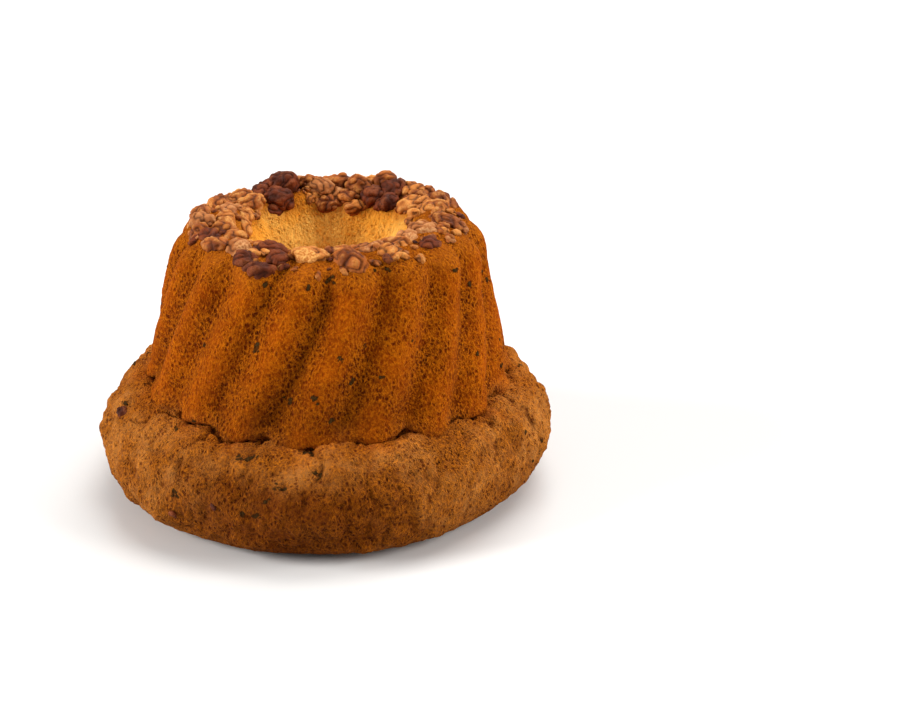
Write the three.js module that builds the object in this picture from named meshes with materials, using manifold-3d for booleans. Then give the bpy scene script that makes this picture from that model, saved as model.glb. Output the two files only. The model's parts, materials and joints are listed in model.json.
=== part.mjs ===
// A kugelhopf: a tall ring loaf of yeast dough with twisted flutes, turned out of its mould.
// The dough that rose over the mould's rim stands under it as a puffed foot, the mould's tube
// left a blind hollow in the top, and a crown of broken walnuts is baked into the ring.
// Millimetres, +Z up. Bearings are in degrees from +X towards +Y, about the loaf's own axis, and
// the front looks along -Y. At the end the origin goes to the table under the middle of the whole.

import * as THREE from "three";
import { mergeVertices } from "three/addons/utils/BufferGeometryUtils.js";
import Module from "manifold-3d";

const wasm = await Module();
wasm.setup();

// ---- Driving dimensions of the loaf ----
const HOLLOW_FLOOR_Z = 70; // the blind end of the hollow
const HOLLOW_FOOT_R = 22;
const MOUTH_R = 45; // where the hollow opens into the crown
const MOUTH_Z = 144;
const CROWN_R = 63; // the highest circle of the ring
const CROWN_Z = 153;
const SHOULDER_R = 87; // where the crown turns down into the fluted wall
const SHOULDER_Z = 141;
const WAIST_R = 104; // the foot of the fluted wall, as wide as the mould's mouth
const WAIST_Z = 68;
const CREASE_R = 101.5; // the groove where the wall meets the puffed foot
const CREASE_Z = 60;
const FOOT_R = 129.5; // the widest circle of the foot
const FOOT_Z = 31;
const FOOT_RISE = 3; // how much higher the foot is on its tallest side
const SOLE_R = 101; // the flat underside
const DIMPLE_R = 20; // the dent under the mould's tube
const DIMPLE_Z = 22;
const PEAK_BEARING = 106; // a bare peak on the hollow's lip
const PEAK_RISE = 5;
const SWELL = 3; // how far the shoulder stands out on its fullest side, towards +X
const TOWER_SHIFT = 3; // how far the fluted part stands towards +X over the foot

// ---- Flutes ----
const FLUTES = 18;
const FLUTE_DEPTH = 7.5;
const FLUTE_ROUNDNESS = 0.75; // under 1 gives broad ridges and narrow valleys
const RIDGE_BEARING = -79.5; // one ridge's bearing at the shoulder
const TWIST = 19; // how far a ridge turns from the waist to the shoulder
const COLUMNS_PER_FLUTE = 6;
const COLUMNS = FLUTES * COLUMNS_PER_FLUTE;

// ---- Walnuts ----
// Each piece: bearing, radius, length, width, turn from the ring's direction, tone, extra height.
const WALNUTS = [
  [12, 62, 24, 15, -60, "tan", 0],
  [18, 75, 16, 11, -40, "brown", 0],
  [26, 57, 21, 16, 70, "tan", 0],
  [27, 71, 16, 13, -70, "brown", 1],
  [32, 80, 14, 13, 0, "brown", 1],
  [35, 66, 14, 13, 30, "brown", 0],
  [39, 77, 14, 13, 0, "brown", 1],
  [42, 67, 20, 16, 20, "tan", 2],
  [43, 51, 15, 11, 90, "dark", 3],
  [49, 62, 18, 16, 0, "dark", 3],
  [54, 76, 18, 14, -20, "brown", 1],
  [57, 66, 15, 15, 0, "brown", 6],
  [58, 54, 18, 15, 50, "dark", 1],
  [67, 49, 20, 13, 70, "tan", -1],
  [70, 60, 18, 15, 10, "brown", 4],
  [70, 74, 20, 14, 0, "tan", 0],
  [74, 52, 14, 13, 40, "brown", 1],
  [83, 54, 15, 13, 0, "pale", 0],
  [83, 66, 18, 14, 10, "brown", 2],
  [88, 50, 24, 14, 5, "brown", -1],
  [88, 77, 18, 14, -30, "brown", 0],
  [93, 58, 22, 15, -50, "pale", 3],
  [98, 64, 14, 14, 0, "brown", 3],
  [104, 74, 20, 13, 0, "pale", 1],
  [114, 61, 21, 17, 20, "dark", 6],
  [116, 76, 20, 15, 10, "dark", 1],
  [121, 52, 18, 16, -20, "dark", 3],
  [125, 64, 16, 14, 70, "dark", 1],
  [128, 50, 15, 11, 10, "dark", -1],
  [138, 66, 21, 14, 0, "tan", 0],
  [141, 57, 22, 15, -10, "tan", 0],
  [152, 71, 21, 13, 10, "brown", 1],
  [153, 52, 24, 10, 25, "tan", 0],
  [161, 60, 21, 11, 15, "pale", 0],
  [165, 74, 16, 13, 0, "brown", 0],
  [168, 49, 22, 10, 25, "tan", 0],
  [177, 57, 20, 13, 0, "tan", 0],
  [180, 69, 15, 15, 0, "pale", 1],
  [191, 58, 22, 13, 20, "tan", 0],
  [191, 71, 14, 12, 0, "brown", 0],
  [200, 68, 15, 12, -20, "dark", 0],
  [208, 57, 16, 13, 20, "tan", 0],
  [213, 71, 20, 13, 0, "brown", 0],
  [224, 66, 24, 13, -15, "pale", 0],
  [226, 51, 16, 10, 0, "brown", 0],
  [235, 75, 16, 12, 10, "dark", 1],
  [239, 61, 21, 15, 20, "dark", 0],
  [243, 79, 18, 12, 10, "dark", 0],
  [248, 70, 14, 11, 60, "dark", 1],
  [262, 63, 19, 15, 10, "tan", 0],
  [278, 53, 21, 11, 0, "tan", 0],
  [280, 70, 25, 15, -60, "brown", 0],
  [294, 57, 21, 13, 10, "pale", 0],
  [299, 68, 16, 13, 0, "tan", 0],
  [308, 60, 22, 13, 0, "tan", 0],
  [320, 56, 20, 13, 20, "pale", 0],
  [321, 71, 14, 11, 0, "dark", 0],
  [338, 57, 20, 15, 60, "pale", 0],
  [352, 69, 21, 14, 59, "brown", 0],
];
const TONES = { dark: 0x5a2d18, brown: 0x8a4f2c, tan: 0xb37a45, pale: 0xd9ae72 };
const THICKNESS = 0.78; // of a piece's width
const SUNK = 0.48; // how much of its thickness lies below the crust it was pressed into
const TILT_SPREAD = 16;
const LOBE_HEIGHT = 0.13; // of a piece's size
const CLEARANCE = 0.35; // between a walnut and whatever it touches

const radians = THREE.MathUtils.degToRad;
const smoothstep = THREE.MathUtils.smoothstep;

// A repeatable number from -1 to 1 for each pair of whole numbers.
function scatter(item, trait) {
  const wave = Math.sin(item * 12.9898 + trait * 78.233) * 43758.5453;
  return 2 * (wave - Math.floor(wave)) - 1;
}

// ---- The loaf's profile, from the dimple in the sole, up over the foot and down into the hollow ----
// Each stretch is a Bezier curve, cut into rows. flute says how deep the flutes are there, and
// puff how much of the foot's unevenness it has, at the stretch's start and end.
const STRETCHES = [
  { points: [[0, DIMPLE_Z], [9, DIMPLE_Z], [11, 3], [DIMPLE_R, 0]], rows: 2, flute: [0, 0], puff: [0, 0] },
  { points: [[DIMPLE_R, 0], [SOLE_R, 0]], rows: 1, flute: [0, 0], puff: [0, 0] },
  { points: [[SOLE_R, 0], [118, 0], [FOOT_R, 13], [FOOT_R, FOOT_Z]], rows: 3, flute: [0, 0], puff: [0, 1] },
  { points: [[FOOT_R, FOOT_Z], [FOOT_R, 49], [115, 65], [CREASE_R, CREASE_Z]], rows: 4, flute: [0, 0.45], puff: [1, 0.4] },
  { points: [[CREASE_R, CREASE_Z], [104.5, 63], [WAIST_R, WAIST_Z]], rows: 2, flute: [0.45, 0.9], puff: [0.4, 0.2] },
  { points: [[WAIST_R, WAIST_Z], [102, 90], [93, 124], [SHOULDER_R, SHOULDER_Z]], rows: 3, flute: [0.9, 0.9], puff: [0.2, 0] },
  { points: [[SHOULDER_R, SHOULDER_Z], [83, 151], [74, CROWN_Z], [CROWN_R, CROWN_Z]], rows: 3, flute: [0.9, 0.45], puff: [0, 0] },
  { points: [[CROWN_R, CROWN_Z], [56, CROWN_Z], [50, 151], [MOUTH_R, MOUTH_Z]], rows: 2, flute: [0.45, 0], puff: [0, 0] },
  { points: [[MOUTH_R, MOUTH_Z], [34, 130], [27, 104], [HOLLOW_FOOT_R, 80]], rows: 3, flute: [0, 0], puff: [0, 0] },
  { points: [[HOLLOW_FOOT_R, 80], [HOLLOW_FOOT_R - 2, HOLLOW_FLOOR_Z], [0, HOLLOW_FLOOR_Z]], rows: 2, flute: [0, 0], puff: [0, 0] },
];

function curveThrough(points) {
  const [a, b, c, d] = points.map(([r, z]) => new THREE.Vector2(r, z));
  if (d) return new THREE.CubicBezierCurve(a, b, c, d);
  return c ? new THREE.QuadraticBezierCurve(a, b, c) : new THREE.LineCurve(a, b);
}

function profileRows() {
  const rows = [];
  for (const { points, rows: count, flute, puff } of STRETCHES) {
    const curve = curveThrough(points);
    for (let i = rows.length ? 1 : 0; i <= count; i++) {
      const t = i / count;
      const point = curve.getPoint(t);
      rows.push({
        radius: point.x,
        height: point.y,
        flute: THREE.MathUtils.lerp(flute[0], flute[1], t),
        puff: THREE.MathUtils.lerp(puff[0], puff[1], t),
      });
    }
  }
  return rows;
}

// 0 on a ridge and 1 in the valley between two of them. No two flutes are quite alike.
function valley(angle) {
  const phase = FLUTES * (angle - radians(RIDGE_BEARING));
  const wander = 0.28 * Math.sin(3 * angle + 1) + 0.18 * Math.sin(5 * angle + 2.5);
  const ridge = 0.5 + 0.5 * Math.cos(phase + wander);
  const depth = 1 + 0.12 * Math.sin(4 * angle + 0.7) + 0.08 * Math.sin(7 * angle);
  return depth * (1 - ridge ** FLUTE_ROUNDNESS);
}

// How far the risen foot stands out past its mean profile.
function puffiness(angle, bearing, height) {
  const underValleys = smoothstep(height, 42, 56) * (valley(angle) - 0.5);
  return (
    1.3 * Math.cos(2 * bearing) +
    1.1 * Math.sin(5 * bearing + 1.3 + height / 24) +
    0.9 * Math.sin(9 * bearing + 0.4 - height / 15) +
    0.6 * Math.sin(14 * bearing + 2.2 + height / 9) +
    2.5 * underValleys
  );
}

// The crease between wall and foot dips under each ridge's end and rises in the valleys.
function creaseWander(angle, height) {
  const near = smoothstep(height, 38, 58) * (1 - smoothstep(height, 66, 84));
  return near * (3.6 * (valley(angle) - 0.5) + 0.9 * Math.sin(7 * angle + 2.4));
}

// The foot rose higher on the side towards -X.
function footRise(bearing, height) {
  const inFoot = smoothstep(height, 8, 40) * (1 - smoothstep(height, 66, 80));
  return FOOT_RISE * inFoot * Math.max(0, -Math.cos(bearing)) ** 2;
}

// The crown rises to a bare peak of crust between two groups of walnuts at the back.
function crownRise(bearing, radius) {
  const away = ((THREE.MathUtils.radToDeg(bearing) - PEAK_BEARING + 540) % 360) - 180;
  const peak = PEAK_RISE * Math.exp(-((away / 8) ** 2)) * Math.exp(-(((radius - 51) / 6) ** 2));
  return peak + 0.7 * Math.sin(5 * bearing + 0.6) + 0.5 * Math.sin(11 * bearing);
}

// One point of the crust, where angle follows the ridges round and up.
function crustPoint({ radius, height, flute, puff }, angle) {
  const inHollow = radius < CROWN_R && height >= HOLLOW_FLOOR_Z;
  const onOutside = radius >= CROWN_R;
  const bearing = angle - radians(TWIST) * (inHollow ? 0 : 1 - wallShare(height));
  const relief = puff * puffiness(angle, bearing, height) - FLUTE_DEPTH * flute * valley(angle);
  const out = radius + relief + shoulderSwell(bearing, height, radius);
  const shift = TOWER_SHIFT * smoothstep(height, 45, 62);
  const lift = onOutside ? creaseWander(angle, height) + footRise(bearing, height) : 0;
  const rise = smoothstep(height, MOUTH_Z - 8, MOUTH_Z + 4) * crownRise(bearing, radius);
  return [out * Math.cos(bearing) + shift, out * Math.sin(bearing), height + lift + rise];
}

// The shoulder is fuller on the side towards +X.
function shoulderSwell(bearing, height, radius) {
  const onShoulder = smoothstep(height, 122, 143) * smoothstep(radius, 66, 80);
  return SWELL * onShoulder * Math.max(0, Math.cos(bearing)) ** 2;
}

// How far up the fluted wall a height is, from 0 at the waist to 1 at the shoulder.
function wallShare(height) {
  return THREE.MathUtils.clamp((height - WAIST_Z) / (SHOULDER_Z - WAIST_Z), 0, 1);
}

function loafGeometry() {
  const rows = profileRows();
  const outline = rows.map(({ radius, height }) => new THREE.Vector2(radius, height));
  const geometry = new THREE.LatheGeometry(outline, COLUMNS);
  const position = geometry.getAttribute("position");
  for (let column = 0; column <= COLUMNS; column++) {
    const angle = (2 * Math.PI * (column % COLUMNS)) / COLUMNS + radians(RIDGE_BEARING);
    rows.forEach((row, i) => position.setXYZ(column * rows.length + i, ...crustPoint(row, angle)));
  }
  return welded(geometry);
}

// ---- Closed meshes and manifold solids ----

// The geometry with shared vertices merged, and without the faces that have no area at a pole.
function welded(geometry) {
  geometry.deleteAttribute("normal");
  geometry.deleteAttribute("uv");
  const merged = mergeVertices(geometry, 1e-3);
  const index = merged.index.array;
  const kept = [];
  for (let i = 0; i < index.length; i += 3) {
    const [a, b, c] = index.slice(i, i + 3);
    if (a !== b && b !== c && c !== a) kept.push(a, b, c);
  }
  return merged.setIndex(kept);
}

function solidOf(geometry) {
  return new wasm.Manifold(
    new wasm.Mesh({
      numProp: 3,
      vertProperties: new Float32Array(geometry.getAttribute("position").array),
      triVerts: new Uint32Array(geometry.index.array),
    }),
  );
}

function geometryOf(solid) {
  const mesh = solid.getMesh();
  return new THREE.BufferGeometry()
    .setAttribute("position", new THREE.BufferAttribute(mesh.vertProperties, 3))
    .setIndex(new THREE.BufferAttribute(mesh.triVerts, 1));
}

// The same shape, grown by a distance along its own normals.
function grown(geometry, distance) {
  const shape = geometry.clone();
  shape.computeVertexNormals();
  const position = shape.getAttribute("position");
  const normal = shape.getAttribute("normal");
  for (let i = 0; i < position.count; i++) {
    position.setXYZ(
      i,
      position.getX(i) + distance * normal.getX(i),
      position.getY(i) + distance * normal.getY(i),
      position.getZ(i) + distance * normal.getZ(i),
    );
  }
  return shape;
}

// ---- Walnuts ----

// The crust's height at a radius on the crown.
function crownHeight(radius) {
  const rows = profileRows();
  const after = rows.findIndex((row) => row.radius <= radius && row.height > SHOULDER_Z);
  const [a, b] = [rows[after - 1], rows[after]];
  return THREE.MathUtils.lerp(a.height, b.height, (radius - a.radius) / (b.radius - a.radius));
}

// A lumpy piece of walnut kernel in its own frame, x along its length.
function nutGeometry(item, size) {
  const segments = size[0] > 8 ? 8 : 7;
  const geometry = welded(new THREE.SphereGeometry(1, segments, 5).rotateX(Math.PI / 2));
  const position = geometry.getAttribute("position");
  const point = new THREE.Vector3();
  for (let i = 0; i < position.count; i++) {
    point.fromBufferAttribute(position, i);
    const lobes =
      Math.sin(4.1 * point.x + 3 * scatter(item, 11)) *
      Math.cos(3.3 * point.y + 3 * scatter(item, 12)) +
      0.6 * Math.sin(5.2 * point.z + 3 * scatter(item, 13));
    point.multiplyScalar(1 + LOBE_HEIGHT * lobes);
    position.setXYZ(i, point.x * size[0], point.y * size[1], point.z * size[2]);
  }
  return geometry;
}

// Where a piece lies on the crown.
function nutPlace([bearing, radius, length, width, turn, tone, lift], item) {
  const thickness = THICKNESS * width;
  const place = new THREE.Object3D();
  place.rotation.set(
    radians(TILT_SPREAD * scatter(item, 4)),
    radians(TILT_SPREAD * scatter(item, 5)),
    radians(bearing + 90 + turn),
    "ZYX",
  );
  place.position.set(
    radius * Math.cos(radians(bearing)) + TOWER_SHIFT,
    radius * Math.sin(radians(bearing)),
    crownHeight(radius) + thickness * (0.5 - SUNK) + lift,
  );
  place.updateMatrix();
  return place.matrix;
}

function largestBody(solid) {
  return solid.decompose().reduce((a, b) => (a.volume() > b.volume() ? a : b));
}

// ---- The object ----
const kugelhopf = new THREE.Group();
kugelhopf.name = "kugelhopf";
const walnutCrown = new THREE.Group();
kugelhopf.add(walnutCrown);

const crust = new THREE.MeshStandardMaterial({ color: 0xb0702e, roughness: 0.75, metalness: 0 });
const loafShape = loafGeometry();
const loaf = new THREE.Mesh(loafShape, crust);
loaf.name = "loaf";
kugelhopf.add(loaf);

const nutMaterials = Object.fromEntries(
  Object.entries(TONES).map(([tone, colour]) => [
    tone,
    new THREE.MeshStandardMaterial({ color: colour, roughness: 0.5, metalness: 0 }),
  ]),
);

// Each walnut gives way to the loaf and to the walnuts that were laid before it.
const laid = [solidOf(grown(loafShape, CLEARANCE))];
WALNUTS.forEach((entry, i) => {
  const [, , length, width, , tone] = entry;
  const size = [length / 2, width / 2, (THICKNESS * width) / 2];
  const shape = nutGeometry(i + 1, size).applyMatrix4(nutPlace(entry, i + 1));
  const piece = laid.reduce((rest, other) => rest.subtract(other), solidOf(shape));
  const walnut = new THREE.Mesh(geometryOf(largestBody(piece)), nutMaterials[tone]);
  walnut.name = `walnut_${String(i + 1).padStart(2, "0")}`;
  walnutCrown.add(walnut);
  laid.push(solidOf(grown(shape, CLEARANCE)));
});

// Puts the origin under the middle of the whole.
const middle = new THREE.Box3().setFromObject(kugelhopf).getCenter(new THREE.Vector3());
kugelhopf.position.set(-middle.x, -middle.y, 0);

export default kugelhopf;
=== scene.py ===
# %% [markdown]
# # A kugelhopf with a crown of walnuts
#
# The packed CAD part says how large everything is and where it goes. This lesson rebuilds its
# loaf as a finely wrinkled crust and each of its walnuts as a lobed kernel. Small chips, herb
# flakes, materials, a floor and soft light complete the picture.
#
# The loaf's own sums are in millimetres, as in the part. Everything else is in metres.

import json
import math
import random

import bmesh
import bpy
import numpy as np
from mathutils import Matrix, Vector, noise
from mathutils.bvhtree import BVHTree


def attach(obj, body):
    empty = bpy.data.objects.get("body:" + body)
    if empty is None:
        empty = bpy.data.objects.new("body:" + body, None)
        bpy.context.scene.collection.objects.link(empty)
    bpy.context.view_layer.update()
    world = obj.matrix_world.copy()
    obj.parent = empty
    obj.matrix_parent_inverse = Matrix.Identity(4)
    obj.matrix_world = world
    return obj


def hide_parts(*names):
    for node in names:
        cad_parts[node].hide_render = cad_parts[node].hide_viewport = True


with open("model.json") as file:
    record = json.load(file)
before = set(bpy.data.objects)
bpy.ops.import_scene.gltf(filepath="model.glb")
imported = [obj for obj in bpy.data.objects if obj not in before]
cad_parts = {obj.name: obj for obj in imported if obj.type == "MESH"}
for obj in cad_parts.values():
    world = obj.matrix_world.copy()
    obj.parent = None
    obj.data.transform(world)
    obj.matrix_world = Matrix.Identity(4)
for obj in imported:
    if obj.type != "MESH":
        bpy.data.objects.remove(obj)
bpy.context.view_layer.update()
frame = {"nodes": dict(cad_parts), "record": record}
scene = bpy.context.scene
noise.seed_set(5)  # vector noise would otherwise change from run to run
MM = 0.001
loaf_node = frame["nodes"]["loaf"]
walnut_nodes = [node for name, node in sorted(frame["nodes"].items()) if name.startswith("walnut_")]

# %% [markdown]
# ## Camera, floor and light
#
# The loaf stands on a white table in a bright studio, seen from a little above. A camera can be
# placed by eye, but this one keeps the place and lens that put the packed loaf over the
# picture's outline. Two low suns from the left and the right leave the ridges bright and the
# flutes between them dark, as the picture shows them, and a third lights the crown. A white
# world fills the shadows. The Standard view keeps the white floor white.

# %% Camera
CAMERA_PLACE = (0.0035, -0.8728, 0.435)
DEGREES_DOWN = 22.986
DEGREES_RIGHT = 4.587
LENS_MM = 64.6
SENSOR_MM = 36
camera = bpy.data.objects.new("camera", bpy.data.cameras.new("camera"))
camera.location = CAMERA_PLACE
camera.rotation_euler = (math.radians(90 - DEGREES_DOWN), 0, math.radians(-DEGREES_RIGHT))
camera.data.lens = LENS_MM
camera.data.sensor_width = SENSOR_MM
scene.collection.objects.link(camera)
scene.camera = camera
scene.view_settings.view_transform = "Standard"
print("camera at", tuple(camera.location))


# %% Lights
WARM_WHITE = (1.0, 0.98, 0.95)
WORLD_STRENGTH = 0.38


def soft_sun(name, towards, strength, spread):
    """A sun that shines along a direction, as soft as the spread in degrees is wide."""
    lamp = bpy.data.lights.new(name, "SUN")
    lamp.energy = strength
    lamp.angle = math.radians(spread)
    lamp.color = WARM_WHITE
    holder = bpy.data.objects.new(name, lamp)
    holder.rotation_euler = Vector(towards).to_track_quat("-Z", "Y").to_euler()
    scene.collection.objects.link(holder)


soft_sun("left", (0.9, 0.1, -0.42), 4.0, 26)
soft_sun("right", (-0.88, 0.2, -0.45), 2.7, 30)
soft_sun("overhead", (-0.28, -0.4, -0.87), 2.8, 50)
world = bpy.data.worlds.new("studio")
world.use_nodes = True
background = world.node_tree.nodes["Background"]
background.inputs["Color"].default_value = (1, 1, 1, 1)
background.inputs["Strength"].default_value = WORLD_STRENGTH
scene.world = world

# %% [markdown]
# ## Shader sums
#
# A baked surface is never one colour. Its patterns are sums of noise values and mesh attributes,
# and could be wired by hand in the shader editor. Written as sums they are shorter and easier to
# change, so the class below wraps a node's output and plain arithmetic adds the Math nodes.


# %% A wire between nodes
FACTOR, COLOUR_A, COLOUR_B = 0, 6, 7  # a Mix node's inputs for colours
MIXED = 2  # and its output


class Wire:
    """A node's output. Arithmetic on it adds Math nodes, and add() adds any other node."""

    def __init__(self, socket):
        self.socket = socket
        self.tree = socket.id_data

    def add(self, kind, inputs, output=0, **settings):
        """A new node of any kind, with its inputs set or linked. Returns one of its outputs."""
        node = self.tree.nodes.new(kind)
        for name, value in settings.items():
            setattr(node, name, value)
        for key, value in inputs.items():
            if isinstance(value, Wire):
                self.tree.links.new(value.socket, node.inputs[key])
            else:
                node.inputs[key].default_value = value
        return Wire(node.outputs[output])

    def sum(self, operation, *values, clamp=False):
        """A Math node on two values."""
        return self.add("ShaderNodeMath", dict(enumerate(values)), operation=operation, use_clamp=clamp)

    def __add__(self, other):
        return self.sum("ADD", self, other)

    __radd__ = __add__

    def __sub__(self, other):
        return self.sum("SUBTRACT", self, other)

    def __rsub__(self, other):
        return self.sum("SUBTRACT", other, self)

    def __mul__(self, other):
        return self.sum("MULTIPLY", self, other)

    __rmul__ = __mul__

    def clamped(self):
        """The value held between 0 and 1."""
        return self.sum("ADD", self, 0.0, clamp=True)

    def between(self, low, high):
        """0 below low, 1 above high and smooth between them."""
        inputs = {"Value": self, "From Min": low, "From Max": high}
        return self.add("ShaderNodeMapRange", inputs, interpolation_type="SMOOTHSTEP")

    def mix(self, first, second):
        """The first colour where this value is 0, and the second where it is 1."""
        inputs = {FACTOR: self, COLOUR_A: first, COLOUR_B: second}
        return self.add("ShaderNodeMix", inputs, output=MIXED, data_type="RGBA")

    def tinted(self, share, tint, blend):
        """This colour with a share of a tint blended into it."""
        inputs = {FACTOR: share, COLOUR_A: self, COLOUR_B: tint}
        return self.add("ShaderNodeMix", inputs, output=MIXED, data_type="RGBA", blend_type=blend)


print("a wire can", sorted(name for name in vars(Wire) if not name.startswith("_")))


# %% Colours for sockets
def linear(value):
    """A share of light from a value that a screen shows, both from 0 to 1."""
    return value / 12.92 if value <= 0.04045 else ((value + 0.055) / 1.055) ** 2.4


def srgb(red, green, blue):
    """A colour as a screen shows it, from 0 to 255, for a colour socket."""
    return (linear(red / 255), linear(green / 255), linear(blue / 255), 1.0)


print("a mid grey for a socket:", [round(c, 3) for c in srgb(128, 128, 128)])

# %% [markdown]
# ## Starting a material
#
# Crust, walnut and herb are all dull, rough things, so every material begins the same way: one
# Principled shader and the piece's own coordinates, with noise measured in millimetres. Values
# that are the same all over are set on the shader's sockets. Anything that varies is linked.


# %% Material start
def new_material(name, **constants):
    """A material, its shader node and the place on the piece, in metres."""
    material = bpy.data.materials.new(name)
    material.use_nodes = True
    shader = material.node_tree.nodes["Principled BSDF"]
    for key, value in constants.items():
        shader.inputs[key.replace("_", " ")].default_value = value
    place = Wire(material.node_tree.nodes.new("ShaderNodeTexCoord").outputs["Object"])
    return material, shader, place


def speckle(place, size, detail=2.0, rough=0.5):
    """Noise from 0 to 1, with features about size millimetres wide."""
    inputs = {"Vector": place, "Scale": 1 / (size * MM), "Detail": detail, "Roughness": rough}
    return place.add("ShaderNodeTexNoise", inputs)


def cells(place, size, feature):
    """The distance to the middle or the edge of cells that are about size millimetres wide."""
    inputs = {"Vector": place, "Scale": 1 / (size * MM)}
    return place.add("ShaderNodeTexVoronoi", inputs, output="Distance", feature=feature)


def attribute(place, name):
    """A value that the mesh carries at each vertex."""
    return place.add("ShaderNodeAttribute", {}, output="Fac", attribute_name=name)


def finish_material(material, shader, colour, roughness, relief, depth):
    """Links colour and roughness, and a bump that is depth millimetres deep."""
    links = material.node_tree.links
    links.new(colour.socket, shader.inputs["Base Color"])
    links.new(roughness.socket, shader.inputs["Roughness"])
    bump = relief.add("ShaderNodeBump", {"Height": relief, "Distance": depth * MM, "Strength": 1.0})
    links.new(bump.socket, shader.inputs["Normal"])
    return material


# %% Floor
FLOOR_HALF_WIDTH = 6
FLOOR_WHITE = (0.7, 0.7, 0.7, 1)
floor_mesh = bpy.data.meshes.new("floor")
slab = bmesh.new()
bmesh.ops.create_grid(slab, x_segments=1, y_segments=1, size=FLOOR_HALF_WIDTH)
slab.to_mesh(floor_mesh)
slab.free()
floor = bpy.data.objects.new("floor", floor_mesh)
scene.collection.objects.link(floor)
floor_mesh.materials.append(new_material("white_floor", Base_Color=FLOOR_WHITE, Roughness=0.3)[0])
print("floor is", floor.dimensions.x, "m wide")

# %% [markdown]
# ## Crust material
#
# Baked crust is a golden net of threads around red brown pores, partly its own colour and partly
# painted highlight on the raised net and painted shade in the pores. It is orange brown on the
# fluted wall, tan on the foot that rose outside the mould and golden in the hollow. Painted shade
# darkens the flutes' floors, the crevices, the front of the foot and wall, and the crust near the
# floor. A photograph could be wrapped on, but it would smear on the steep foot.
# Cell noise gives the pores and the net in any direction instead, and the masks that the mesh
# carries blend the colours of its parts.

# %% Pores and golden net
NET_CELL = 2.3
FINE_NET_CELL = 1.2
crust, shader, place = new_material(
    "crust", Specular_IOR_Level=0.01, Sheen_Weight=0.01, Sheen_Roughness=0.4
)
foot, hollow, crown = (attribute(place, name) for name in ("foot", "hollow", "crown"))
crevice, flute_floor = (attribute(place, name) for name in ("crevice", "flute_floor"))
baked, stain = (attribute(place, name) for name in ("baked", "stain"))
upright = place.add("ShaderNodeVectorMath", {0: place, 1: (1, 1, 0.7)}, operation="MULTIPLY")
sponge = (speckle(place, 13, 2) + 0.15 * flute_floor + 0.1 * foot + 0.05 * hollow).between(0.42, 0.66)
grain = speckle(upright, 1.3, 4, 0.6)
noise_inputs = {"Vector": upright, "Scale": 1 / (2.2 * MM), "Detail": 1.0}
wobble = upright.add("ShaderNodeTexNoise", noise_inputs, output="Color")
bend_inputs = {0: wobble, 1: (1.8 * MM, 1.8 * MM, 1.8 * MM), 2: upright}
bent = upright.add("ShaderNodeVectorMath", bend_inputs, operation="MULTIPLY_ADD")
net = 0.4 * (0.2 - cells(bent, NET_CELL, "DISTANCE_TO_EDGE")).between(0.0, 0.17)
net = net + 0.4 * (0.2 - cells(bent, FINE_NET_CELL, "DISTANCE_TO_EDGE")).between(0.0, 0.17)
net = net * (0.4 + 0.6 * sponge)
pits = (0.68 * speckle(place, 3, 2) - cells(bent, NET_CELL, "F1")).between(0.0, 0.2)
pits = pits * (0.3 + 0.7 * sponge)
print("pores and net:", len(crust.node_tree.nodes), "nodes")

# %% Crust colours
# The dark wall colour is darker patches of crust and painted shade in the flutes' floors.
RIDGE, DARK_PATCH_AND_FLUTE_SHADE = srgb(159, 72, 4), srgb(104, 35, 1)
TAN_FOOT, BROWN_FOOT = srgb(170, 112, 56), srgb(120, 68, 28)
LIGHT_CROWN, DARK_CROWN = srgb(156, 82, 17), srgb(134, 63, 8)
LIGHT_HOLLOW, DARK_HOLLOW = srgb(250, 192, 92), srgb(234, 160, 58)
# Painted shade: the foot and the lower wall in front, and the crust near the floor.
PAINTED_SHADE_BROWN = srgb(86, 34, 5)
# Multiplied in for browner mottles and pores, and as painted shade in the flutes' floors.
BROWNING_AND_SHADE, GOLD = srgb(178, 122, 96), srgb(230, 130, 16)
# The first colour is painted shade in crevices, cracks and between puffs.
CREVICE_SHADE, HERB_STAIN = srgb(74, 26, 3), srgb(48, 30, 10)
patches = speckle(place, 22, 3).between(0.36, 0.64)
# Painted shade in the flutes' floors, with real darker patches.
wall_colour = (0.45 * patches + 0.85 * flute_floor).clamped().mix(RIDGE, DARK_PATCH_AND_FLUTE_SHADE)
# Painted shade over the front of the foot and wall, and near the floor.
colour = baked.mix(foot.mix(wall_colour, patches.mix(TAN_FOOT, BROWN_FOOT)), PAINTED_SHADE_BROWN)
colour = crown.mix(colour, patches.mix(LIGHT_CROWN, DARK_CROWN))
colour = hollow.mix(colour, patches.mix(LIGHT_HOLLOW, DARK_HOLLOW))
darker = colour.tinted(1.0, BROWNING_AND_SHADE, "MULTIPLY")
lighter = colour.tinted(0.5, GOLD, "MIX")
mottle = speckle(place, 6, 3).between(0.4, 0.62)
# Golden threads on the raised net and grain: partly the crust's own colour, partly painted highlight.
# Fewer of them where shade is painted.
threads = (0.9 * net + 0.5 * grain.between(0.46, 0.62)) * (1 - 0.6 * baked)
flecks = (stain - 0.9 * speckle(place, 1.6, 2)).between(0.05, 0.2)
# More painted shade in the flutes' floors, with real browner mottles.
colour = (0.45 * flute_floor + mottle * (0.4 - 0.3 * hollow)).clamped().mix(colour, darker)
colour = threads.clamped().mix(colour, lighter)
# Pores darker: partly their own red brown, partly painted shade.
colour = (pits * (0.75 - 0.3 * hollow)).mix(colour, darker)
# Painted shade in crevices, cracks and between puffs.
colour = (0.6 * crevice.between(0.3, 1.0)).mix(colour, CREVICE_SHADE)
colour = (0.85 * flecks).mix(colour, HERB_STAIN)
skin_relief = 0.8 * net + 1.5 * grain - 0.8 * pits
finish_material(crust, shader, colour, 0.7 + 0.2 * grain, skin_relief, depth=1.4)
print("crust:", len(crust.node_tree.nodes), "nodes")

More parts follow.
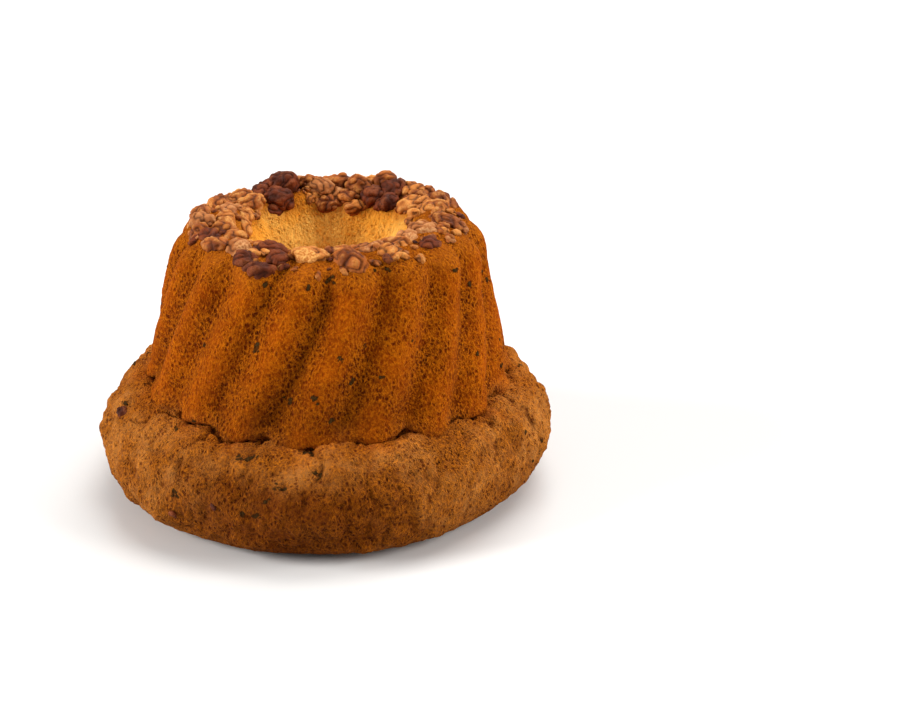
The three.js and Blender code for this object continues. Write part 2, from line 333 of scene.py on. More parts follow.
# %% [markdown]
# ## Arrays
#
# Bread and walnuts are wrinkled at a scale of millimetres, which takes meshes of 100,000 vertices.
# Moving those one at a time is slow, and a displacement texture can't tell foot from wall. Here
# arrays hold all vertices at once. The helpers read and write a mesh, blend between two limits
# and make smooth or creased noise.


# %% Array helpers
def read(mesh, name, width=1):
    """A vertex attribute as an array."""
    values = np.empty(len(mesh.vertices) * width)
    if name == "position":
        mesh.vertices.foreach_get("co", values)
    elif name == "normal":
        mesh.vertices.foreach_get("normal", values)
    else:
        mesh.attributes[name].data.foreach_get("value", values)
    return values.reshape(-1, width) if width > 1 else values


def store(mesh, name, values):
    """Keeps an array on the mesh as a vertex attribute."""
    layer = mesh.attributes.new(name, "FLOAT", "POINT")
    layer.data.foreach_set("value", values.astype(np.float32))


def move_to(mesh, points):
    """Moves the vertices to points in millimetres."""
    mesh.vertices.foreach_set("co", (points * MM).ravel())
    mesh.update()


def shade_smooth(mesh):
    """Hides the edges between the faces."""
    for polygon in mesh.polygons:
        polygon.use_smooth = True


def ramp(values, low, high):
    """0 below low, 1 above high and smooth between them."""
    t = np.clip((values - low) / (high - low), 0, 1)
    return t * t * (3 - 2 * t)


def field(points, size, octaves=2):
    """Smooth noise around 0 for each point, with features about size millimetres wide."""
    return np.array([noise.fractal(p, 1.0, 2.0, octaves) for p in (points / size).tolist()])


def creases(points, size, octaves=2):
    """Noise from 0 in sharp creases to about 1 on the round wrinkles between them."""
    return np.array([noise.turbulence(p, octaves, True) for p in (points / size).tolist()])


print("noise at three places:", field(np.eye(3) * 10, 7).round(2))

# %% [markdown]
# ## Walnut materials
#
# Roasted walnuts run from nearly black skin to pale flesh. Four separate materials would repeat
# each other, so the four tones of the part's slots share one recipe: a skin blushed in patches,
# with painted shade in its grooves and a painted highlight on its ridges, and pale flesh where it
# broke.


# %% Walnut skin
# Painted shade in the grooves, and the colour of dark veins.
GROOVE_SHADE_AND_VEIN = srgb(50, 18, 4)


def walnut_material(name, light, dark, flesh):
    """One tone of walnut, from the colours of its skin and of its flesh."""
    material, shader, place = new_material(name, Specular_IOR_Level=0.1)
    groove = attribute(place, "groove")
    broken = attribute(place, "broken")
    ridge = attribute(place, "ridge")
    veins = speckle(place, 1.3, 3, 0.65)
    blush = speckle(place, 9, 2).between(0.38, 0.62)
    skin = blush.mix(dark, light)
    # Painted highlight: the ridge tops turn paler, towards the flesh colour.
    skin = (0.6 * ridge * veins.between(0.35, 0.6)).mix(skin, flesh)
    # Painted shade in the grooves, with dark veins.
    skin = (0.75 * groove + 0.4 * veins.between(0.55, 0.75)).clamped().mix(skin, GROOVE_SHADE_AND_VEIN)
    colour = broken.mix(skin, veins.between(0.4, 0.6).mix(light, flesh))
    return finish_material(material, shader, colour, 0.4 + 0.3 * veins, veins, depth=0.5)


WALNUT_TONES = {  # light skin, dark skin and flesh
    "walnut_dark": (srgb(104, 44, 16), srgb(68, 25, 8), srgb(136, 72, 34)),
    "walnut_brown": (srgb(152, 80, 28), srgb(108, 50, 14), srgb(198, 130, 62)),
    "walnut_tan": (srgb(180, 108, 44), srgb(140, 72, 22), srgb(216, 156, 84)),
    "walnut_pale": (srgb(164, 100, 52), srgb(140, 78, 34), srgb(198, 142, 90)),
}
walnut_materials = {name: walnut_material(name, *tones) for name, tones in WALNUT_TONES.items()}
slot_of = {part["node"]: part["material_slot"] for part in frame["record"]["subparts"]}
print("slots:", sorted(set(slot_of.values())))

# %% [markdown]
# ## Kernels
#
# A walnut half is a lump with winding grooves, like a small brain. It could be sculpted by hand,
# but there are 59 of them. Each packed walnut is a plain lump of the right size, so a copy is
# remeshed to even small faces and smoothed, and noise folded at zero cuts the grooves into it.
# Some kernels are broken across first, and show flat pale flesh.


# %% Even faces and grooves
def even_mesh(mesh, size):
    """The mesh remade with faces about size millimetres wide."""
    holder = bpy.data.objects.new("holder", mesh)
    scene.collection.objects.link(holder)
    remesh = holder.modifiers.new("even", "REMESH")
    remesh.mode = "VOXEL"
    remesh.voxel_size = size * MM
    depsgraph = bpy.context.evaluated_depsgraph_get()
    result = bpy.data.meshes.new_from_object(holder.evaluated_get(depsgraph))
    bpy.data.objects.remove(holder)
    return result


def grooved(mesh, chance, depth, grown):
    """Cuts winding grooves into a mesh that grows by some millimetres, and stores where they are."""
    points = read(mesh, "position", 3) / MM
    middle = points.mean(axis=0)
    axes = np.linalg.eigh(np.cov((points - middle).T))[1]
    axes *= np.sign(axes.sum(axis=0))  # eigh leaves the signs open
    shift = np.array([chance.uniform(-90, 90) for _ in range(3)])
    own = (points - middle) @ axes * (1, 1, 0.7) + shift
    warp = np.array([noise.noise_vector(p) for p in (own / 5).tolist()])
    folded = np.abs(field(own + 1.5 * warp, 4.4, 1))
    groove = 1 - ramp(folded, 0.0, 0.2)
    ridge = ramp(folded, 0.22, 0.5)
    fine = creases(own, 2.4, 2) - 0.5
    broken = read(mesh, "broken") if "broken" in mesh.attributes else np.zeros(len(points))
    move = grown + (0.55 * ridge - depth * groove) * (1 - 0.8 * broken) + 0.6 * fine
    move_to(mesh, points + move[:, None] * read(mesh, "normal", 3))
    store(mesh, "groove", groove * (1 - broken))
    store(mesh, "ridge", ridge * (1 - broken))


# %% Kernel
KERNEL_FACE = 0.55
BROKEN_SHARE = 0.15


def break_across(lump, chance):
    """Cuts off one side of a lump. Returns a point of the cut and the way it faces."""
    centre = sum((v.co for v in lump.verts), Vector()) / len(lump.verts)
    way = Vector((chance.uniform(-1, 1), chance.uniform(-1, 1), chance.uniform(0, 0.8))).normalized()
    reach = max((v.co - centre).dot(way) for v in lump.verts)
    point = centre + 0.75 * reach * way
    geometry = lump.verts[:] + lump.edges[:] + lump.faces[:]
    cut = bmesh.ops.bisect_plane(lump, geom=geometry, plane_co=point, plane_no=way, clear_outer=True)
    rim = [e for e in cut["geom_cut"] if isinstance(e, bmesh.types.BMEdge)]
    bmesh.ops.holes_fill(lump, edges=rim)
    return np.array(point), np.array(way)


def soften(mesh):
    """Smooths the facets away."""
    soft = bmesh.new()
    soft.from_mesh(mesh)
    every_way = {"use_axis_x": True, "use_axis_y": True, "use_axis_z": True}
    for _ in range(3):
        bmesh.ops.smooth_vert(soft, verts=soft.verts, factor=0.5, **every_way)
    soft.to_mesh(mesh)
    soft.free()


def kernel(node, chance):
    """One walnut piece in place of a packed lump."""
    lump = bmesh.new()
    lump.from_mesh(node.data)
    bmesh.ops.remove_doubles(lump, verts=lump.verts, dist=1e-6)
    cut = break_across(lump, chance) if chance.random() < BROKEN_SHARE else None
    plain = bpy.data.meshes.new(node.name)
    lump.to_mesh(plain)
    lump.free()
    mesh = even_mesh(plain, KERNEL_FACE)
    soften(mesh)
    if cut:
        point, way = cut
        away = (read(mesh, "position", 3) - point) @ way / MM
        store(mesh, "broken", ramp(away, -0.9, -0.4))
    grooved(mesh, chance, depth=0.75, grown=0.8)
    return mesh


# %% Every kernel
kernel_faces = 0
for number, node in enumerate(walnut_nodes):
    mesh = kernel(node, random.Random(number))
    mesh.name = node.name + "_kernel"
    shade_smooth(mesh)
    mesh.materials.clear()
    mesh.materials.append(walnut_materials[slot_of[node.name]])
    piece = bpy.data.objects.new(mesh.name, mesh)
    scene.collection.objects.link(piece)
    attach(piece, "root")
    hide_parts(node.name)
    kernel_faces += len(mesh.polygons)
print(len(walnut_nodes), "kernels with", kernel_faces, "faces")

# %% [markdown]
# ## The loaf's profile
#
# The dough took the shape of a fluted ring mould and spilled over its rim as a puffed foot. The
# packed loaf is too coarse for wrinkles, and subdividing it would keep its facets. Its profile
# is drawn again instead, from the dimple below, over foot, wall and crown, and down into the
# hollow. Each stretch is a Bezier curve with the part's own control points. The rows are one to
# two millimetres apart, so that the crust's wrinkles can be real shape.

# %% Profile
STRETCHES = [  # control points (radius, height), rows, flute and puff at the start and the end
    ([(0, 22), (9, 22), (11, 3), (20, 0)], 6, (0, 0), (0, 0)),
    ([(20, 0), (47, 0), (74, 0), (101, 0)], 6, (0, 0), (0, 0)),
    ([(101, 0), (118, 0), (129.5, 13), (129.5, 31)], 27, (0, 0), (0, 1)),
    ([(129.5, 31), (129.5, 49), (115, 65), (101.5, 60)], 38, (0, 0.45), (1, 0.4)),
    ([(101.5, 60), (103.5, 62), (104.33, 64.67), (104, 68)], 9, (0.45, 0.9), (0.4, 0.2)),
    ([(104, 68), (102, 90), (93, 124), (87, 141)], 50, (0.9, 0.9), (0.2, 0)),
    ([(87, 141), (83, 151), (74, 153), (63, 153)], 22, (0.9, 0.45), (0, 0)),
    ([(63, 153), (56, 153), (50, 151), (45, 144)], 15, (0.45, 0), (0, 0)),
    ([(45, 144), (34, 130), (27, 104), (22, 80)], 19, (0, 0), (0, 0)),
    ([(22, 80), (20.67, 73.33), (13.33, 70), (0, 70)], 5, (0, 0), (0, 0)),
]
CREASE_RADIUS, CREASE_HEIGHT = 101.5, 60


def profile_rows():
    """Each row's radius, height, flute and puff."""
    rows = [(0, 22, 0, 0)]
    for knots, count, flute, puff in STRETCHES:
        a, b, c, d = np.array(knots, float)
        for t in np.arange(1, count + 1) / count:
            s = 1 - t
            radius, height = s**3 * a + 3 * s * s * t * b + 3 * s * t * t * c + t**3 * d
            rows.append((radius, height, s * flute[0] + t * flute[1], s * puff[0] + t * puff[1]))
    return np.array(rows)


rows = profile_rows()
steps = np.hypot(*np.diff(rows[:, :2], axis=0).T)
along = np.concatenate(([0], np.cumsum(steps)))
along -= along[np.argmin(np.hypot(rows[:, 0] - CREASE_RADIUS, rows[:, 1] - CREASE_HEIGHT))]
print(len(rows), "rows, from", round(along[0]), "to", round(along[-1]), "mm from the crease")

# %% [markdown]
# ## Turning the profile
#
# A ring loaf is a turned shape, and one spin of the profile makes it. Each vertex keeps its row's
# flute, puff and distance from the crease as layers, and the next step reads them.

# %% Spin
COLUMNS = 504
RIDGE_BEARING = -79.5
body = bmesh.new()
layers = {name: body.verts.layers.float.new(name) for name in ("flute", "puff", "along")}
start = Matrix.Rotation(math.radians(RIDGE_BEARING), 3, "Z")
line = []
for (radius, height, flute, puff), distance in zip(rows, along):
    vertex = body.verts.new(start @ Vector((radius, 0, height)))
    for name, value in (("flute", flute), ("puff", puff), ("along", distance)):
        vertex[layers[name]] = value
    line.append(vertex)
edges = [body.edges.new(pair) for pair in zip(line, line[1:])]
once_round = {"axis": (0, 0, 1), "cent": (0, 0, 0), "angle": math.tau, "use_merge": True}
bmesh.ops.spin(body, geom=line + edges, steps=COLUMNS, **once_round)
poles = [v for v in body.verts if v.co.xy.length < 1e-3]
bmesh.ops.remove_doubles(body, verts=poles, dist=1e-3)
bmesh.ops.recalc_face_normals(body, faces=body.faces)
loaf_mesh = bpy.data.meshes.new("crust")
body.to_mesh(loaf_mesh)
body.free()
print("loaf:", len(loaf_mesh.vertices), "vertices,", len(loaf_mesh.polygons), "faces")

# %% [markdown]
# ## Flutes, foot and crown
#
# The mould pressed 18 flutes into the wall, which turn 19 degrees on the way up. They could be
# cut with 18 tools, but a wave along each row is simpler and meets the smooth crown cleanly.
# These are the part's own formulas for the ridges, the uneven foot, the wandering crease and the
# rise and fall of the crown, so the fine mesh lies on the CAD solid.


# %% Shape formulas
FLUTES = 18
FLUTE_DEPTH = 7.5
TWIST = 19  # degrees, from the wall's foot to the crown


def valley(angle):
    """0 on a ridge and 1 in the valley between two of them."""
    phase = FLUTES * (angle - math.radians(RIDGE_BEARING))
    wander = 0.28 * np.sin(3 * angle + 1) + 0.18 * np.sin(5 * angle + 2.5)
    depth = 1 + 0.12 * np.sin(4 * angle + 0.7) + 0.08 * np.sin(7 * angle)
    return depth * (1 - (0.5 + 0.5 * np.cos(phase + wander)) ** 0.75)


def puffiness(angle, bearing, height):
    """How far the risen foot stands out past its mean profile."""
    return (
        1.3 * np.cos(2 * bearing)
        + 1.1 * np.sin(5 * bearing + 1.3 + height / 24)
        + 0.9 * np.sin(9 * bearing + 0.4 - height / 15)
        + 0.6 * np.sin(14 * bearing + 2.2 + height / 9)
        + 2.5 * ramp(height, 42, 56) * (valley(angle) - 0.5)
    )


def crease_wander(angle, height):
    """The crease dips under each ridge's end and rises in the valleys."""
    near = ramp(height, 38, 58) * (1 - ramp(height, 66, 84))
    return near * (3.6 * (valley(angle) - 0.5) + 0.9 * np.sin(7 * angle + 2.4))


def foot_rise(bearing, height):
    """The foot rose higher on the side towards -X."""
    return 3 * ramp(height, 8, 40) * (1 - ramp(height, 66, 80)) * np.maximum(0, -np.cos(bearing)) ** 2


def wrapped(degrees):
    """The same bearing between -180 and 180 degrees."""
    return (degrees + 540) % 360 - 180


def crown_rise(bearing, radius):
    """The crown's gentle waves, and a bare peak of crust at the back."""
    away = wrapped(np.degrees(bearing) - 106)
    peak = 5 * np.exp(-((away / 8) ** 2)) * np.exp(-(((radius - 51) / 6) ** 2))
    return peak + 0.7 * np.sin(5 * bearing + 0.6) + 0.5 * np.sin(11 * bearing)


# %% Shape the loaf
DIMPLE_HEIGHT = 22
turned = read(loaf_mesh, "position", 3)
radius, height = np.hypot(turned[:, 0], turned[:, 1]), turned[:, 2]
angle = np.arctan2(turned[:, 1], turned[:, 0])
flute, puff, along = (read(loaf_mesh, name) for name in ("flute", "puff", "along"))
inside = (radius < 63) & (height >= 69.9)
wall_share = np.clip((height - 68) / 73, 0, 1)
bearing = angle - math.radians(TWIST) * np.where(inside, 0, 1 - wall_share)
swell = 3 * ramp(height, 122, 143) * ramp(radius, 66, 80) * np.maximum(0, np.cos(bearing)) ** 2
out = radius + puff * puffiness(angle, bearing, height) - FLUTE_DEPTH * flute * valley(angle) + swell
lift = np.where(radius >= 62.9, crease_wander(angle, height) + foot_rise(bearing, height), 0)
lift += ramp(height, 136, 148) * crown_rise(bearing, radius)
level = [v.co for v in loaf_node.data.vertices if abs(v.co.z - DIMPLE_HEIGHT * MM) < 1e-5]
dimple = min(level, key=lambda co: co.xy.length)  # the loaf's middle in the packed part
shape = np.column_stack(
    (
        out * np.cos(bearing) + 3 * ramp(height, 45, 62) + dimple.x / MM,
        out * np.sin(bearing) + dimple.y / MM,
        height + lift,
    )
)
move_to(loaf_mesh, shape)
print("loaf spans", np.round(np.ptp(shape, axis=0), 1), "mm")

# %% [markdown]
# ## Wrinkles, cracks and folds
#
# Crust shrinks as it bakes: it puffs, wrinkles and cracks, most of all on the free foot. A bump
# texture would leave the outline smooth, so all of it is moved along the surface's normals.
# Broad lumps and puffs come first, then drapes that hang down the foot, wrinkles and small pits.
# The crease is partly filled with risen dough, except where a crack runs through it. The cracks
# are drawn as lines of bearing and distance from the crease.


# %% Where each part of the crust is
on_foot = 1 - ramp(along, -3, 6)
on_sole = 1 - ramp(height, 0.5, 14)
on_sole[inside] = 0
in_hollow = np.where(inside, 1 - ramp(height, 142, 153), 0)
on_crown = np.where(inside, 1, ramp(height, 137, 150))
towards_left = np.maximum(0, -np.cos(bearing)) ** 4
towards_back_left = np.maximum(0, np.cos(bearing - math.radians(155))) ** 6
parts = {"foot": on_foot, "sole": on_sole, "hollow": in_hollow, "crown": on_crown}
print("share of the crust:", {name: round(float(share.mean()), 2) for name, share in parts.items()})

# %% Fine relief
lumps = field(shape, 24)
puffs = creases(shape * (1, 1, 0.8) + 70, 19, 2) - 0.5
wrinkles = creases(shape * (1, 1, 0.8), 6.5, 3)
drapes = creases(shape * (1, 1, 0.4) + 200, 11, 2) - 0.5
dents = ramp(field(shape + 300, 2.6, 1), 0.32, 0.55)
streaks = field(np.column_stack((60 * angle, along / 6, 0 * angle)), 6) * in_hollow
relief = (0.3 + 1.5 * on_foot) * lumps + 2.8 * on_foot * (puffs + drapes)
relief += (0.6 + 1.2 * on_foot) * (wrinkles - 0.45)
relief -= on_foot * (relief * on_foot).sum() / on_foot.sum()  # so that the foot keeps its size
relief += 0.8 * streaks * ramp(height, 105, 130) - (0.4 + 0.4 * on_foot) * dents
relief -= 2.2 * on_foot * towards_left * np.exp(-(((height - 44) / 13) ** 2))
relief += 4 * on_foot * towards_back_left * np.exp(-(((along + 10) / 11) ** 2))
print("wrinkles from", wrinkles.min().round(2), "to", wrinkles.max().round(2))
print("small pits on", (dents > 0.5).mean().round(3), "of the crust")

# %% Cracks and folds
CRACKS = [  # depth, half width in mm, then points of bearing and distance from the crease
    (3.2, 0.9, (-136, 2), (-130, -2), (-126, -6), (-123, -8), (-120, -4), (-117, 0)),
    (2.2, 0.9, (-146, 10), (-145, 3), (-144, -5), (-141, -3), (-136, 2)),
    (2.2, 1.0, (-158, -21), (-152, -17), (-147, -8), (-144, -5)),
    (2.8, 0.9, (-81, 0), (-77, 1), (-73, -1), (-67, 1)),
    (1.6, 1.4, (-98, 2), (-96, -4), (-93, -12), (-93, -24)),
    (1.6, 1.6, (-112, 0), (-113, -12), (-111, -26)),
    (1.4, 1.2, (-128, -10), (-131, -22), (-129, -34)),
    (1.2, 1.2, (-104, -22), (-99, -34), (-100, -44)),
]
chance = random.Random(11)
for number in range(13):  # round the side and the back, a crack along the crease and a fold below
    begin = -50 + 19 * number + chance.uniform(-4, 4)
    reach = chance.uniform(8, 15)
    knots = [(begin + reach * t, chance.uniform(-5, 2)) for t in (0, 0.3, 0.6, 1)]
    CRACKS.append((chance.uniform(1.5, 3), 0.9, *knots))
    side = begin + chance.uniform(0, 16)
    depth = chance.uniform(1, 1.8)
    bend = side + chance.uniform(-4, 4)
    CRACKS.append((depth, 1.4, (side, -4), (bend, -14), (side, chance.uniform(-34, -22))))
print(len(CRACKS), "cracks and folds")


# %% Cutting the cracks
MM_PER_DEGREE = 1.8


def away_from(points, start, end):
    """Each point's distance from a straight stretch."""
    start, step = np.array(start), np.subtract(end, start)
    share = np.clip((points - start) @ step / (step @ step), 0, 1)
    return np.hypot(*(points - start - share[:, None] * step).T)


ragged = np.column_stack([field(shape + shift, 7) for shift in (0, 500)])
flat = np.column_stack((np.degrees(bearing) * MM_PER_DEGREE, along)) + 2.2 * ragged
crack = np.zeros(len(shape))
near_crack = np.zeros(len(shape))
for depth, width, *knots in CRACKS:
    knots = [(wrapped(degrees), distance) for degrees, distance in knots]
    for (first, low), (second, high) in zip(knots, knots[1:]):
        if abs(first - second) < 180:  # a stretch over the seam at 180 degrees is left out
            away = away_from(flat, (first * MM_PER_DEGREE, low), (second * MM_PER_DEGREE, high))
            crack = np.maximum(crack, depth * np.exp(-((away / width) ** 2)))
            near_crack = np.maximum(near_crack, np.exp(-((away / 6) ** 2)))
risen = 4.6 * (1 - near_crack) * np.exp(-(((along - 1) / 6) ** 2))
relief += risen - crack
relief *= 1 - on_sole
normals = read(loaf_mesh, "normal", 3)
crumbly = shape + relief[:, None] * normals
crumbly[:, 2] = np.maximum(crumbly[:, 2], 0)
move_to(loaf_mesh, crumbly)
print("relief from", relief.min().round(2), "to", relief.max().round(2), "mm")

# %% [markdown]
# ## Crust against the walnuts
#
# The dough rose against the walnuts, so the crust climbs a little where it meets one. Joining
# the meshes would lose the walnuts' edges. Instead the nearest point of the packed walnuts says
# how far away each crown vertex is, and the crust rises by that.

# %% Rise at the walnuts
gathered = bmesh.new()
for node in walnut_nodes:
    gathered.from_mesh(node.data)
walnut_tree = BVHTree.FromBMesh(gathered)
gathered.free()
CLIMB = 1.4
CLIMB_REACH = 2.6
SEARCH = 6
climb = np.zeros(len(crumbly))
for i in np.flatnonzero((height > 128) & (radius > 34)):
    nearest, _, _, away = walnut_tree.find_nearest(Vector(crumbly[i] * MM), SEARCH * MM)
    if nearest is not None:
        climb[i] = CLIMB * math.exp(-((away / MM / CLIMB_REACH) ** 2))
crumbly += climb[:, None] * normals
loaf_mesh.vertices.foreach_set("co", (crumbly * MM).ravel())
print("crust climbs at", int((climb > 0.3).sum()), "vertices")

# %% [markdown]
# ## Where the herbs lie
#
# Flakes of herb are baked into the crust and stain it round about. They could be stuck on by
# hand, but the flakes and the crust's own material have to agree on their places. So the places
# are found first: each is the crust's nearest point to a bearing, radius and height. The ones
# in front are listed, and the rest are drawn at random.

# %% Places on the crust
tower = Vector((dimple.x + 0.003, dimple.y, 0))  # under the middle of the fluted wall
corners = [tuple(polygon.vertices) for polygon in loaf_mesh.polygons]
starts = [face.index(min(face)) for face in corners]
corners = sorted(face[k:] + face[:k] for face, k in zip(corners, starts))  # a spin leaves any order
loaf_tree = BVHTree.FromPolygons((crumbly * MM).tolist(), corners)


def on_crust(degrees, reach, high):
    """The crust's nearest point to a bearing, radius and height, and the way it faces."""
    turn = math.radians(degrees)
    guess = tower + Vector((reach * math.cos(turn), reach * math.sin(turn), high)) * MM
    return loaf_tree.find_nearest(guess)[:2]


print("the crust is at", on_crust(-90, 100, 90)[0], "in front")

# %% Where herb flakes lie
ALL_FLAKES = 150
FLAKES = [  # bearing, radius, height, half width and half height in mm
    (-114, 115, 57, 3.4, 1.4), (-111, 114, 59, 2.0, 1.2), (-97, 106, 58, 2.4, 3.2),
    (-94, 120, 54, 1.8, 2.2), (-130, 129, 35, 2.8, 2.4), (-112, 128, 33, 1.3, 1.2),
    (-103, 124, 47, 2.4, 2.4), (-112, 82, 143, 2.4, 1.3), (-89, 78, 146, 1.6, 1.8),
    (-137, 92, 105, 1.4, 1.4), (-115, 92, 111, 1.6, 2.9), (-78, 89, 112, 1.8, 0.8),
    (-90, 98, 75, 1.3, 1.3), (-104, 94, 84, 1.9, 1.6), (-95, 100, 87, 1.6, 2.4),
    (-71, 77, 149, 1.1, 0.9), (-66, 79, 149, 1.2, 0.8), (-84, 78, 149, 1.0, 0.8),
    (-137, 102, 64, 0.9, 1.2), (-140, 110, 61, 1.1, 1.9), (-106, 127, 41, 1.0, 1.0),
    (-109, 128, 32, 2.4, 0.9), (-87, 95, 109, 0.9, 1.8), (-83, 93, 94, 1.1, 1.3),
    (-62, 94, 113, 0.9, 1.3), (-97, 83, 144, 1.0, 1.6), (-74, 97, 96, 0.9, 0.9),
    (-165, 121, 58, 2.9, 0.8),
]
chance = random.Random(3)
while len(FLAKES) < ALL_FLAKES:  # the rest are on the right and the back
    degrees = chance.uniform(-40, 185)
    high = chance.uniform(8, 150)
    half_sizes = chance.uniform(0.5, 1.4), chance.uniform(0.5, 1.4)
    FLAKES.append((degrees, 140 - 0.35 * high, high, *half_sizes))
print(len(FLAKES), "flakes")

# %% Bits and stains of the flakes
stain = np.zeros(len(crumbly))
bits = []
for degrees, reach, high, wide, tall in FLAKES:
    turn = math.radians(degrees)
    place, normal = on_crust(degrees, reach, high)
    across = Vector((-math.sin(turn), math.cos(turn), 0))
    upward = normal.cross(across)
    for _ in range(2 + int(1.2 * wide * tall)):
        nudge = chance.uniform(-1.4, 1.4) * wide * across + chance.uniform(-1.2, 1.2) * tall * upward
        spot, facing, _, _ = loaf_tree.find_nearest(place + nudge * MM)
        length = chance.uniform(0.8, 2.4)
        bits.append((spot, facing, length))
        away = np.linalg.norm(crumbly - np.array(spot) / MM, axis=1)
        stain = np.maximum(stain, np.exp(-((away / (0.5 * length + 0.7)) ** 2)))
print(len(bits), "bits, crust stained at", int((stain > 0.3).sum()), "vertices")

# %% [markdown]
# ## Masks for the crust
#
# The crust is pale in the hollow and tan on the free foot. Painted shade darkens it in front, near
# the floor, in crevices and between puffs. That could be painted on by hand. Worked out from
# height, bearing and the relief's own arrays, the masks still fit when the shape changes.

# %% Masks for the crust material
# Painted shade on the foot and the lower wall in front, fading round the sides.
FRONT_BEARING = -100
from_front = np.abs(wrapped(np.degrees(bearing) - FRONT_BEARING)) + 8 * lumps
at_front = 1 - ramp(from_front, 8, 52)
front_foot_shade = 0.92 * on_foot * (1 - ramp(height + 5 * lumps, 41, 62))
front_wall_shade = 0.55 * (1 - on_foot) * (1 - ramp(height, 74, 112))
# Painted shade, darker towards the floor.
shade_near_floor = 0.5 * (1 - ramp(height, 6, 34))
# Painted shade between wrinkles and puffs, with less of it on the top of the foot.
between_wrinkles = np.clip(0.5 - wrinkles, 0, 1) * (1 - 0.7 * on_foot * ramp(height, 48, 57))
between_puffs = 0.5 * np.clip(-0.1 - puffs, 0, 1) + 0.9 * np.clip(-0.05 - drapes, 0, 1)
masks = {
    "foot": 1 - ramp(along + 12 * lumps, -22, 14),
    "hollow": in_hollow,
    "crown": on_crown,
    "flute_floor": flute * valley(angle),
    "baked": np.maximum(at_front * (front_foot_shade + front_wall_shade), shade_near_floor) * (1 - in_hollow),
    "crevice": between_wrinkles + 0.4 * crack + on_foot * between_puffs,
    "stain": stain,
}
for name, values in masks.items():
    store(loaf_mesh, name, values)
print("masks:", {name: round(float(values.mean()), 3) for name, values in masks.items()})

# %% Crust piece
shade_smooth(loaf_mesh)
loaf_mesh.materials.append(crust)
loaf = bpy.data.objects.new("crust", loaf_mesh)
scene.collection.objects.link(loaf)
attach(loaf, "root")
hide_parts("loaf")
print("crust:", len(loaf_mesh.polygons), "faces")

# %% [markdown]
# ## Chips and herb flakes
#
# Crumbs of walnut fill the gaps between the kernels, and a few sit in the foot. A particle system
# could scatter them, but it would be hard to keep them off the kernels. Here each one is dropped
# on the crown by a ray, the listed ones first, and left out where the ray meets a kernel. A flake
# of herb is a handful of thin dark bits.

# %% Where chips are dropped
DROPPED_CHIPS = 420
CHIPS = [  # bearing, radius and length in mm, tone
    (8, 51, 9, "tan"), (101, 55, 8, "tan"), (246, 50, 8, "brown"), (131, 74, 9, "brown"),
    (150, 47, 7, "pale"), (147, 70, 9, "brown"), (206, 61, 8, "brown"), (271, 56, 9, "brown"),
    (286, 56, 8, "brown"), (313, 52, 9, "dark"), (352, 48, 9, "brown"), (199, 76, 9, "dark"),
    (50, 49, 9, "dark"), (58, 47, 9, "tan"),
]
FOOT_CHIPS = [  # bearing, then radius, height and length in mm
    (-163, 123, 55, 9), (-132, 130, 22, 7), (-120, 129, 33, 5),
]
chance = random.Random(7)
for _ in range(DROPPED_CHIPS):
    tone = chance.choice(("tan", "tan", "brown", "brown", "pale", "dark"))
    CHIPS.append((chance.uniform(0, 360), chance.uniform(47, 78), chance.uniform(2.5, 9), tone))


def scatter(bm, place, normal, size, rounds):
    """Adds a lumpy grain of the given size, lying on a surface and turned at random."""
    turn = chance.uniform(0, math.tau)
    grain = bmesh.ops.create_icosphere(bm, subdivisions=rounds, radius=0.5)["verts"]
    for vertex in grain:
        vertex.co *= 1 + 0.35 * noise.noise(vertex.co * 2.6 + place * 900)
    stand = Matrix.Translation(place) @ normal.to_track_quat("Z", "Y").to_matrix().to_4x4()
    matrix = stand @ Matrix.Rotation(turn, 4, "Z") @ Matrix.Diagonal((*size, 1))
    bmesh.ops.transform(bm, matrix=matrix, verts=grain)


print(len(CHIPS), "chips to drop")

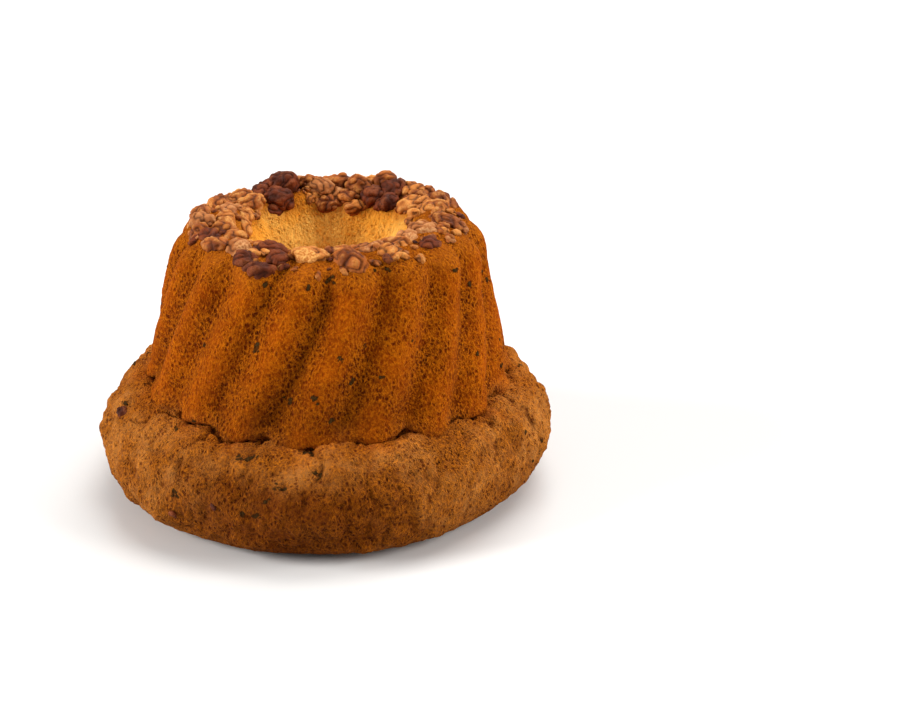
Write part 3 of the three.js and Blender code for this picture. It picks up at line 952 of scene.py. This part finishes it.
# %% Laying the chips
CHIP_FACE = 0.4
DROP_HEIGHT = 0.2  # metres, well above the crown
DOWN = Vector((0, 0, -1))
heaps = {tone: bmesh.new() for tone in ("dark", "brown", "tan", "pale")}
laid = 0
for degrees, reach, length, tone in CHIPS:
    turn = math.radians(degrees)
    above = tower + Vector((reach * MM * math.cos(turn), reach * MM * math.sin(turn), DROP_HEIGHT))
    nut, _, _, drop_to_nut = walnut_tree.ray_cast(above, DOWN)
    place, normal, _, drop = loaf_tree.ray_cast(above, DOWN)
    if place is None or (nut is not None and drop_to_nut < drop):
        continue
    size = Vector((length, length * chance.uniform(0.55, 0.8), length * chance.uniform(0.4, 0.6))) * MM
    scatter(heaps[tone], place + normal * size.z * 0.15, normal, size, rounds=2)
    laid += 1
for degrees, reach, high, length in FOOT_CHIPS:
    size = Vector((length, 0.7 * length, 2)) * MM
    scatter(heaps["dark"], *on_crust(degrees, reach, high), size, rounds=2)
for tone, heap in heaps.items():
    mesh = bpy.data.meshes.new("chips_" + tone)
    heap.to_mesh(mesh)
    heap.free()
    mesh = even_mesh(mesh, CHIP_FACE)
    grooved(mesh, random.Random(tone), depth=0.4, grown=0.2)
    mesh.materials.append(walnut_materials["walnut_" + tone])
    shade_smooth(mesh)
    piece = bpy.data.objects.new("chips_" + tone, mesh)
    scene.collection.objects.link(piece)
    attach(piece, "root")
    "walnut_" + tone
print(laid, "chips on the crown and", len(FOOT_CHIPS), "in the foot")

# %% Herb flakes
leaves = bmesh.new()
for spot, facing, length in bits:
    size = Vector((length, length * chance.uniform(0.35, 0.7), 0.5)) * MM
    scatter(leaves, spot + 0.05 * MM * facing, facing, size, rounds=1)
herb, shader, place = new_material("herb", Specular_IOR_Level=0.03)
shade = speckle(place, 0.8, 2)
herb_colour = shade.mix(srgb(34, 26, 12), srgb(74, 52, 22))
finish_material(herb, shader, herb_colour, 0.7 + 0.1 * shade, shade, depth=0.2)
mesh = bpy.data.meshes.new("herb_flakes")
leaves.to_mesh(mesh)
leaves.free()
mesh.materials.append(herb)
flakes = bpy.data.objects.new("herb_flakes", mesh)
scene.collection.objects.link(flakes)
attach(flakes, "root")
print(len(bits), "bits of flake laid")

# %% [markdown]
# ## Finish
#
# Blender must not change the loaf's size.
